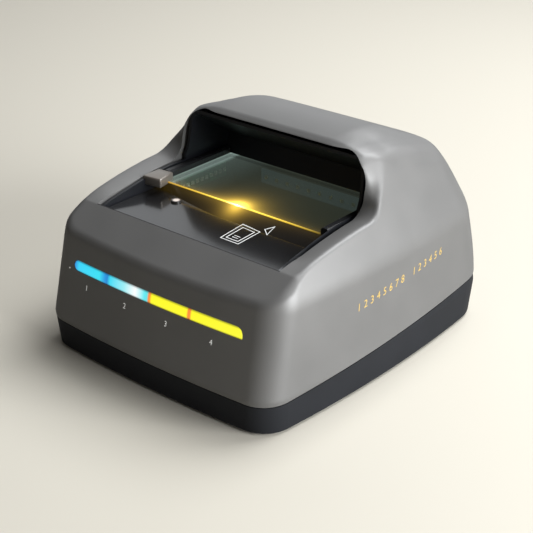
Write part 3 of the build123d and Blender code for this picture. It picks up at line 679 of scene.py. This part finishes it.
def add_painted_glow(material, strength, under=None):
    """Lets a material carry the painted gold glow, on top of a painted glow of its own."""
    tree = material.node_tree
    shader = tree.nodes["Principled BSDF"]
    source = tree.nodes.new("ShaderNodeGroup")
    source.node_tree = painted_glow
    source.inputs["Strength"].default_value = strength
    light = source.outputs["Light"]
    if under:
        join = tree.nodes.new("ShaderNodeVectorMath")
        join.operation = "ADD"
        tree.links.new(under, join.inputs[0])
        tree.links.new(light, join.inputs[1])
        light = join.outputs["Vector"]
    tree.links.new(light, shader.inputs["Emission Color"])
    shader.inputs["Emission Strength"].default_value = 1.0


# The platform is a smooth black frame with a step for the glass and a nose that falls away to the panel. It
# rests on shelves of the bay's lining. It carries the painted gold glow, which stands for the scanning
# light it would catch.
platform_shades = ((0.008, 0.008, 0.009), (0.013, 0.013, 0.014))
platform_black = moulded("platform_black", platform_shades, 0.22, bump=0.008)
add_painted_glow(platform_black, 0.5)
finish_nodes(platform_black, "document_platform")

# Two black rails stand along the glass and guide the passport in. They are smooth mouldings, set on
# top of the platform.
rail_black = moulded("rail_black", ((0.012, 0.012, 0.013), (0.018, 0.018, 0.019)), 0.28, bump=0.01)
finish_nodes(rail_black, "left_rail", "right_rail")

# The card panel is a glossy black sheet over the card antenna, glued in level with the foot of the
# platform's nose. It carries a fainter painted gold glow, a painted reflection of the scanning line.
panel_shades = ((0.010, 0.010, 0.011), (0.014, 0.014, 0.015))
panel_gloss = moulded("panel_gloss", panel_shades, 0.12, bump=0.0002, coat=0.6, rough_span=0.02)
add_painted_glow(panel_gloss, 0.35)
finish_nodes(panel_gloss, "card_panel")


def upright_block(name, outline, low, high):
    """A block between two heights, over a four-sided outline seen from above."""
    points = [(x, y, z) for z in (low, high) for x, y in outline]
    faces = [(3, 2, 1, 0), (4, 5, 6, 7), (0, 1, 5, 4), (1, 2, 6, 5), (2, 3, 7, 6), (3, 0, 4, 7)]
    return mesh_of(name, points, faces)


# A thin black gasket of soft rubber closes the joint between the deck's edge and the panel. It is
# pressed in from above and stands just proud of the deck.
gasket_shades = ((0.004, 0.004, 0.004), (0.007, 0.007, 0.007))
gasket_outline = ((-75.9, -84.45), (75.9, -84.45), (75.9, -83.85), (-75.9, -83.85))
gasket_low, gasket_high = 89.8, 93.25
gasket = upright_block("panel_gasket", gasket_outline, gasket_low, gasket_high)
gasket.data.materials.append(moulded("gasket_black", gasket_shades, 0.7, bump=0.01))
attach(gasket, "housing")

# The block at the front of the left rail is a low hood in the housing's colour, over a sensor that
# tells when a document lies on the glass. Its top is a slanted four-sided plate with round edges.
block_shades = ((0.19, 0.165, 0.14), (0.23, 0.205, 0.175))
block_outline = ((-75.0, -44.6), (-59.5, -42.8), (-62.8, -27.0), (-75.0, -28.4))
block_low, block_high = 94.6, 101.0
block_round = 1.3
block = upright_block("sensor_block_hood", block_outline, block_low, block_high)
edge_round = block.modifiers.new("edge_round", "BEVEL")
edge_round.width = block_round / 1000.0
edge_round.segments = 4
settle(block)
smooth_faces(block, 50.0)
block.data.materials.append(moulded("block_satin", block_shades, 0.3, bump=0.012, metallic=0.4, coat=0.2))
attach(block, "housing")
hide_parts("sensor_block")


def shade_ramp(tree, source, stops):
    """A colour ramp: each stop is a share of the way and a colour, from 0 to 1."""
    node = tree.nodes.new("ShaderNodeValToRGB")
    ramp = node.color_ramp
    ramp.elements[0].color = (*stops[0][1], 1.0)
    ramp.elements[1].color = (*stops[-1][1], 1.0)
    for share, colour in stops[1:-1]:
        stop = ramp.elements.new(share)
        stop.color = (*colour, 1.0)
    tree.links.new(source, node.inputs["Fac"])
    return node.outputs["Color"]


def shades_along_x(tree, half_length, stops):
    """Colours along a piece, from its left end to its right end, and the place they are read at."""
    place = tree.nodes.new("ShaderNodeTexCoord")
    parts = tree.nodes.new("ShaderNodeSeparateXYZ")
    tree.links.new(place.outputs["Object"], parts.inputs["Vector"])
    span = stretch(tree, parts.outputs["X"], (-half_length / 1000.0, half_length / 1000.0))
    return shade_ramp(tree, span, stops), parts


def clear_glass(name, tint, low, high):
    """Clear glass with the slight unevenness that wiping leaves on a polished surface."""
    material, tree, shader = blank_finish(name)
    shader.inputs["Base Color"].default_value = (*tint, 1.0)
    shader.inputs["Transmission Weight"].default_value = 1.0
    source = tree.nodes.new("ShaderNodeGroup")
    source.node_tree = grain
    uneven_gloss(tree, source, shader, low, high)
    return material


# The glass is a clear plate that the page lies on, held in the platform's step. Its colour carries a faint
# painted glow for the lamps below, paler at its left edge for light that runs out of the cut side, with the
# painted gold glow on top.
glass_half = 66.0
pane_painted_glow = (
    (0.0, (0.085, 0.11, 0.10)), (0.045, (0.10, 0.13, 0.12)), (0.06, (0.03, 0.038, 0.034)),
    (0.3, (0.014, 0.017, 0.014)), (1.0, (0.012, 0.014, 0.011)),
)
pane = clear_glass("document_glass", (0.72, 0.84, 0.78), 0.02, 0.06)
pane.node_tree.nodes["Principled BSDF"].inputs["IOR"].default_value = 1.45
add_painted_glow(pane, 1.15, shades_along_x(pane.node_tree, glass_half, pane_painted_glow)[0])
finish_nodes(pane, "document_glass")

# The scanning line is a thin clear light guide, let in along the front edge of the glass and lit from
# below. It glows gold, almost white at its middle, and fades towards both ends.
guide_left, guide_right = -65.0, 65.8
guide_steps = 40
guide_profile = ((-34.1, 95.9), (-33.9, 96.35), (-33.4, 96.5), (-32.9, 96.35), (-32.7, 95.9))
guide_shades = (
    (0.0, (0.30, 0.17, 0.02)), (0.25, (0.62, 0.40, 0.04)), (0.42, (1.0, 0.78, 0.10)),
    (0.475, (1.3, 1.15, 0.55)), (0.495, (1.6, 1.5, 1.2)), (0.515, (1.3, 1.15, 0.55)),
    (0.56, (1.0, 0.80, 0.10)), (0.75, (0.75, 0.50, 0.05)), (1.0, (0.14, 0.09, 0.01)),
)
row = len(guide_profile)
guide_x = [guide_left + (guide_right - guide_left) * i / guide_steps for i in range(guide_steps + 1)]
guide_points = [(x, y, z) for x in guide_x for y, z in guide_profile]
corners = [i * row + k for i in range(guide_steps) for k in range(row - 1)]
guide_faces = [(c, c + 1, c + row + 1, c + row) for c in corners]
guide = mesh_of("scan_line", guide_points, guide_faces)
face_out(guide, (0.0, 0.0, 1.0))
guide_gold, tree, shader = blank_finish("guide_gold")
shade = shades_along_x(tree, glass_half, guide_shades)[0]
tree.links.new(shade, shader.inputs["Emission Color"])
tree.links.new(shade, shader.inputs["Base Color"])
shader.inputs["Emission Strength"].default_value = 1.0
guide.data.materials.append(guide_gold)
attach(guide, "housing")

# The sensor lens is a small milky disc in a dark ring, pressed into the card panel from above. A light
# sensor behind it sees when something covers it. The same rings also drive a faint painted glow, brightest
# at the milky centre.
lens_shades = ((0.02, 0.018, 0.016), (0.03, 0.027, 0.024))
lens_centre = (-44.6, -43.8, 91.2)
lens_reach = 3.4
lens_rings = (
    (0.0, (0.80, 0.72, 0.64)), (0.5, (0.66, 0.56, 0.50)), (0.72, (0.20, 0.16, 0.14)),
    (0.82, (0.015, 0.013, 0.011)), (1.0, (0.02, 0.018, 0.016)),
)
lens_milk = moulded("lens_milk", lens_shades, 0.2, coat=0.5)
tree = lens_milk.node_tree
shader = tree.nodes["Principled BSDF"]
place = tree.nodes.new("ShaderNodeTexCoord")
from_centre = tree.nodes.new("ShaderNodeVectorMath")
from_centre.operation = "DISTANCE"
from_centre.inputs[1].default_value = [v / 1000.0 for v in lens_centre]
tree.links.new(place.outputs["Object"], from_centre.inputs[0])
ring_span = stretch(tree, from_centre.outputs["Value"], (0.0, lens_reach / 1000.0))
ring_shade_and_glow = shade_ramp(tree, ring_span, lens_rings)
tree.links.new(ring_shade_and_glow, shader.inputs["Base Color"])
tree.links.new(ring_shade_and_glow, shader.inputs["Emission Color"])
# A faint painted glow, in the same rings as the colour.
shader.inputs["Emission Strength"].default_value = 0.25
finish_nodes(lens_milk, "sensor_lens")


def onto_form(points, direction, lift):
    """Moves points along one direction onto the housing and lifts them a little off it."""
    for _ in range(24):
        points = points - direction * housing_form(*points.T)[:, None]
    return points + direction * lift


# The lit bar is four translucent segments, set side by side in the housing's slot and lit from
# behind in blue, white and yellow. They bulge a little and fade at their upper and lower edges.
bar_spans = ((-70.75, -39.9), (-39.5, -1.9), (-1.5, 30.5), (30.9, 70.75))
bar_slots = ("light_cyan", "light_white", "light_yellow", "light_yellow")
bar_crown = 0.34
bar_sink = 0.05
bar_least_height = 0.05
bar_depth = 1.8
bar_columns = 24
bar_rows = 6
bar_fade_metres = (0.0020, 0.0036)
bar_glow_range = (1.05, 0.30)
bar_shades = (
    (0.0, (0.015, 0.20, 0.62)), (0.03, (0.03, 0.62, 0.90)), (0.17, (0.03, 0.70, 0.85)),
    (0.205, (0.01, 0.30, 0.72)), (0.222, (0.01, 0.22, 0.60)), (0.24, (0.03, 0.66, 0.86)),
    (0.33, (0.30, 0.80, 0.86)), (0.40, (0.92, 0.94, 0.94)), (0.455, (0.12, 0.78, 0.84)),
    (0.474, (0.10, 0.72, 0.76)), (0.482, (0.90, 0.22, 0.03)), (0.491, (0.90, 0.30, 0.03)),
    (0.500, (0.93, 0.90, 0.01)), (0.703, (0.93, 0.90, 0.01)), (0.711, (0.90, 0.24, 0.03)),
    (0.722, (0.90, 0.24, 0.03)), (0.730, (0.93, 0.90, 0.01)), (1.0, (0.92, 0.90, 0.02)),
)
bar_light, tree, shader = blank_finish("bar_light")
shade, bar_parts = shades_along_x(tree, bar_half_length, bar_shades)
off_middle = tree.nodes.new("ShaderNodeMath")
off_middle.operation = "SUBTRACT"
off_middle.inputs[1].default_value = bar_centre / 1000.0
from_middle = tree.nodes.new("ShaderNodeMath")
from_middle.operation = "ABSOLUTE"
tree.links.new(bar_parts.outputs["Z"], off_middle.inputs[0])
tree.links.new(off_middle.outputs["Value"], from_middle.inputs[0])
bar_fade = stretch(tree, from_middle.outputs["Value"], bar_fade_metres, bar_glow_range, "SMOOTHSTEP")
tree.links.new(shade, shader.inputs["Emission Color"])
tree.links.new(bar_fade, shader.inputs["Emission Strength"])
shader.inputs["Base Color"].default_value = (0.06, 0.06, 0.06, 1.0)
shader.inputs["Roughness"].default_value = 0.25

toward_front = np.array([0.0, -1.0, 0.0])
near_front_y = -119.0
row = bar_rows + 1
for index, ((start, stop), slot) in enumerate(zip(bar_spans, bar_slots), start=1):
    spots, crown = [], []
    for x in bar_stations(start, stop, bar_columns):
        low, high = bar_edges(x, 0.0)
        high = max(high, low + bar_least_height)
        for i in range(row):
            share = i / bar_rows
            spots.append((x, near_front_y, low + (high - low) * share))
            crown.append(bar_crown * (1.0 - abs(2.0 * share - 1.0) ** 2.4) - bar_sink)
    spots = onto_form(np.array(spots), toward_front, 0.0)
    spots[:, 1] -= np.array(crown)
    corners = [c * row + r for c in range(bar_columns) for r in range(bar_rows)]
    faces = [(c, c + row, c + row + 1, c + 1) for c in corners]
    segment = mesh_of("light_pipe_" + str(index), spots, faces)
    bm = bmesh.new()
    bm.from_mesh(segment.data)
    grown = bmesh.ops.extrude_edge_only(bm, edges=[edge for edge in bm.edges if edge.is_boundary])
    for vert in [item for item in grown["geom"] if isinstance(item, bmesh.types.BMVert)]:
        vert.co.y += bar_depth / 1000.0
    bm.to_mesh(segment.data)
    bm.free()
    face_out(segment, toward_front)
    smooth_faces(segment, 40.0)
    segment.data.materials.append(bar_light)
    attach(segment, "housing")
    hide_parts("light_segment_" + str(index))

# The circuit boards are green glass-fibre sheets with a solder mask: for the lit bar, the side lamps,
# the camera, the card antenna, and the main board. Screws hold the main and the camera board.
board_shades = ((0.012, 0.07, 0.035), (0.03, 0.12, 0.06))
board_green = moulded("board_green", board_shades, 0.35, bump=0.05, grain_scale=600.0)
finish_nodes(
    board_green, "light_bar_board", "left_lamp_board", "right_lamp_board", "camera_board",
    "card_antenna_board", "main_board")

# The rear lamp board is bluish grey and shows through the glass, with a faint painted glow standing for the
# light of its own lamps. It stands upright just under the glass.
slate_shades = ((0.030, 0.042, 0.050), (0.050, 0.066, 0.076))
board_slate = moulded("board_slate", slate_shades, 0.4, bump=0.04, grain_scale=500.0)
slate_glow_shader = board_slate.node_tree.nodes["Principled BSDF"]
# Painted glow for the light of the board's own lamps.
slate_glow_shader.inputs["Emission Color"].default_value = (0.012, 0.019, 0.024, 1.0)
slate_glow_shader.inputs["Emission Strength"].default_value = 1.0
finish_nodes(board_slate, "rear_lamp_board")

# The lamps are small blocks of milky resin, soldered in rows on their boards. One row lights the
# bar, and the others light the page on the glass.
lamp_milk = moulded("lamp_milk", ((0.40, 0.40, 0.34), (0.55, 0.54, 0.46)), 0.3)
finish_nodes(lamp_milk, "light_bar_leds", "document_lamps")

# The optical box is a dull black funnel that keeps stray light from the camera. The bar's carrier is
# moulded from the same plastic and holds the segments from behind.
funnel_black = moulded("funnel_black", ((0.012, 0.013, 0.014), (0.02, 0.021, 0.022)), 0.7, bump=0.05)
finish_nodes(funnel_black, "optical_box", "light_bar_carrier")

# The small black mouldings are the camera's barrel, the processor's and the buzzer's cases, the
# sockets' insulators, and the switch with its rocker on two pins.
part_black = moulded("part_black", ((0.014, 0.014, 0.015), (0.022, 0.022, 0.023)), 0.3, bump=0.015)
finish_nodes(
    part_black, "camera_barrel", "processor", "buzzer", "usb_socket_tongue", "power_socket",
    "switch_frame", "power_rocker")

# The camera's lens is ground from clear glass and polished. It is glued into the top of the barrel
# and looks up through the funnel.
finish_nodes(clear_glass("camera_lens", (0.80, 0.86, 0.92), 0.01, 0.05), "camera_lens")

# The metal pieces are a heat sink of extruded aluminium, screws and a socket shell of plated steel,
# and a plated brass pin in the power socket.
sink_metal = moulded("sink_metal", ((0.55, 0.56, 0.58), (0.65, 0.66, 0.68)), 0.35, metallic=1.0)
steel = moulded("plated_steel", ((0.42, 0.42, 0.41), (0.52, 0.52, 0.5)), 0.3, metallic=1.0)
pin_brass = moulded("pin_brass", ((0.72, 0.55, 0.25), (0.8, 0.62, 0.3)), 0.25, metallic=1.0)
finish_nodes(sink_metal, "heat_sink")
finish_nodes(steel, "usb_socket_shell", "case_screws", "board_screws", "camera_screws")
finish_nodes(pin_brass, "power_socket_pin")

# The flat cable between the camera board and the main board is white plastic film over thin copper.
# Both ends lie flat on their boards and are soldered down.
finish_nodes(moulded("ribbon_white", ((0.6, 0.6, 0.58), (0.7, 0.7, 0.68)), 0.5), "ribbon_cable")


def digit_mesh(text, size):
    """Points in millimetres and faces of flat digits, centred on the origin."""
    curve = bpy.data.curves.new("digits", "FONT")
    curve.body = text
    curve.size = size
    curve.align_x = "CENTER"
    curve.resolution_u = 3
    holder = bpy.data.objects.new("digits", curve)
    scene.collection.objects.link(holder)
    graph = bpy.context.evaluated_depsgraph_get()
    mesh = bpy.data.meshes.new_from_object(holder.evaluated_get(graph))
    points = np.array([vert.co[:] for vert in mesh.vertices])
    faces = [list(polygon.vertices) for polygon in mesh.polygons]
    bpy.data.objects.remove(holder)
    bpy.data.curves.remove(curve)
    bpy.data.meshes.remove(mesh)
    return points, faces


# Four plain numbers are printed in white on the housing under the lit bar, one for each segment. The ink
# also carries a faint painted glow for the bar's light.
white = (0.80, 0.80, 0.78)
white_ink_painted_glow = moulded("white_ink_painted_glow", ([c * 0.92 for c in white], white), 0.5, bump=0.004)
ink_glow_shader = white_ink_painted_glow.node_tree.nodes["Principled BSDF"]
# Painted glow: the ink is made to shine a little, as if the bar lit it.
ink_glow_shader.inputs["Emission Color"].default_value = (*white, 1.0)
ink_glow_shader.inputs["Emission Strength"].default_value = 0.35
print_lift = 0.05
label_size = 4.9
label_height = 48.4
for number_text, x in (("1", -57.5), ("2", -22.0), ("3", 13.4), ("4", 49.3)):
    flat, faces = digit_mesh(number_text, label_size)
    spots = np.stack([x + flat[:, 0], np.full(len(flat), near_front_y), label_height + flat[:, 1]], axis=1)
    label = mesh_of("label_" + number_text, onto_form(spots, toward_front, print_lift), faces)
    label.data.materials.append(white_ink_painted_glow)
    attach(label, "housing")

# A small pale dot sits on the housing at the bar's left end, in the same white ink as the numbers, with the
# same painted glow.
dot_x, dot_height, dot_radius = -75.5, 57.8, 0.55
dot_corners = 20
dot_turns = [math.tau * i / dot_corners for i in range(dot_corners)]
dot_spots = np.array([
    (dot_x + dot_radius * math.cos(turn), near_front_y, dot_height + dot_radius * math.sin(turn))
    for turn in dot_turns])
bar_dot = mesh_of("bar_end_dot", onto_form(dot_spots, toward_front, print_lift), [range(dot_corners)])
bar_dot.data.materials.append(white_ink_painted_glow)
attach(bar_dot, "housing")

# A row of plain digits is printed in gold along the right side, rising to the rear, with each digit
# leaning a little.
gold = (0.55, 0.37, 0.10)
gold_ink = moulded("gold_ink", ([c * 0.92 for c in gold], gold), 0.5, bump=0.004)
mark_text = "12345678 123456"
mark_size = 7.2
mark_start_y = -42.5
mark_length = 90.0
mark_low, mark_high = 57.5, 64.0
mark_first_y = -40.0
mark_margin = 3.5
mark_lift = 0.06
near_side_x = 100.0
digit_lean_share = 0.16
mark_rise = math.atan2(mark_high - mark_low, mark_length)
mark_step = (mark_length - mark_margin) / (len(mark_text) - 1)
mark_points, mark_faces = [], []
for i, digit in enumerate(mark_text):
    if digit == " ":
        continue
    flat, faces = digit_mesh(digit, mark_size)
    along = mark_first_y + mark_step * i + flat[:, 0] + digit_lean_share * flat[:, 1]
    ys = along * math.cos(mark_rise) - flat[:, 1] * math.sin(mark_rise)
    zs = mark_low + (along - mark_start_y) * math.sin(mark_rise) + flat[:, 1] * math.cos(mark_rise)
    spots = np.stack([np.full(len(flat), near_side_x), ys, zs], axis=1)
    mark_faces += [[index + len(mark_points) for index in face] for face in faces]
    mark_points += onto_form(spots, np.array([1.0, 0.0, 0.0]), mark_lift).tolist()
mark = mesh_of("side_mark", mark_points, mark_faces)
mark.data.materials.append(gold_ink)
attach(mark, "housing")

# The sign on the panel is thin white print that shows where a card is laid: one card's outline in
# another, two bars, and a triangle beside them.
line_width = 0.55
panel_top = 90.04
nose_foot_y = -44.5
nose_slope_share = 0.547
card_outline = ((14.6, -66.6), (13.0, -43.7), (27.9, -44.9), (29.0, -66.7))
window_outline = ((16.9, -64.0), (15.5, -46.6), (25.6, -47.4), (26.5, -64.1))
triangle = ((29.6, -42.2), (34.6, -38.6), (34.0, -45.4))
bars = (((19.6, -61.0), (23.6, -61.0)), ((19.2, -58.6), (23.5, -58.6)))
sign_lines = list(bars)
for ring in (card_outline, window_outline, triangle):
    sign_lines += [(ring[i], ring[(i + 1) % len(ring)]) for i in range(len(ring))]
sign_points, sign_faces = [], []
for start, end in sign_lines:
    a, b = np.array(start), np.array(end)
    tip = (b - a) / np.hypot(*(b - a)) * line_width / 2
    side = np.array([-tip[1], tip[0]])
    sign_faces.append([len(sign_points) + k for k in range(4)])
    for x, y in (b - side + tip, b + side + tip, a + side - tip, a - side - tip):
        sign_points.append((x, y, panel_top + nose_slope_share * max(0.0, y - nose_foot_y)))
sign = mesh_of("card_sign", sign_points, sign_faces)
sign.data.materials.append(white_ink_painted_glow)
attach(sign, "housing")

# The stage is a pale floor with the object's shadow on it. To glossy rays the floor is darker, so
# that the housing's lower half doesn't wash out.
floor_half = 4000.0
floor_pale = (0.62, 0.58, 0.50, 1.0)
floor_dark = (0.17, 0.16, 0.14, 1.0)
floor_corners = [(x * floor_half, y * floor_half, 0.0) for x, y in ((-1, -1), (1, -1), (1, 1), (-1, 1))]
floor = mesh_of("floor", floor_corners, [(0, 1, 2, 3)])
floor_paint, tree, shader = blank_finish("floor_paint")
shader.inputs["Roughness"].default_value = 0.9
shader.inputs["Specular IOR Level"].default_value = 0.1
floor_rays = tree.nodes.new("ShaderNodeLightPath")
floor_tone = tree.nodes.new("ShaderNodeMix")
floor_tone.data_type = "RGBA"
floor_tone.inputs["A"].default_value = floor_pale
floor_tone.inputs["B"].default_value = floor_dark
tree.links.new(floor_rays.outputs["Is Glossy Ray"], floor_tone.inputs["Factor"])
tree.links.new(floor_tone.outputs["Result"], shader.inputs["Base Color"])
floor.data.materials.append(floor_paint)

# The world is pale where the camera sees it, and dim to everything else, so that the lamps do the
# lighting.
world_dim, world_pale = 0.06, 0.9
world = bpy.data.worlds.new("world")
scene.world = world
world.use_nodes = True
sky = world.node_tree
sky.nodes["Background"].inputs["Color"].default_value = (1.0, 0.96, 0.90, 1.0)
rays = sky.nodes.new("ShaderNodeLightPath")
level = stretch(sky, rays.outputs["Is Camera Ray"], after=(world_dim, world_pale))
sky.links.new(level, sky.nodes["Background"].inputs["Strength"])

# Four broad, slightly cool lamps: one for the right side, one for the front corner, one behind on the
# left, and one over the roof. All point at the middle of the object.
lamp_cool = (0.94, 0.97, 1.0)
lamp_target = Vector((0.0, 0.0, 0.07))
for name, place_at, size, power in (
        ("key", (1.35, 0.16, 0.42), 0.9, 35.0),
        ("corner", (1.20, -0.34, 0.30), 1.2, 3.6),
        ("back", (-1.00, 1.10, 0.80), 1.6, 6.0),
        ("top", (0.25, 0.75, 1.30), 1.0, 27.0)):
    lamp_data = bpy.data.lights.new(name, "AREA")
    lamp_data.energy = power
    lamp_data.size = size
    lamp_data.color = lamp_cool
    lamp = bpy.data.objects.new(name, lamp_data)
    lamp.location = place_at
    lamp.rotation_euler = (Vector(place_at) - lamp_target).to_track_quat("Z", "Y").to_euler()
    scene.collection.objects.link(lamp)
scene.view_settings.view_transform = "Standard"
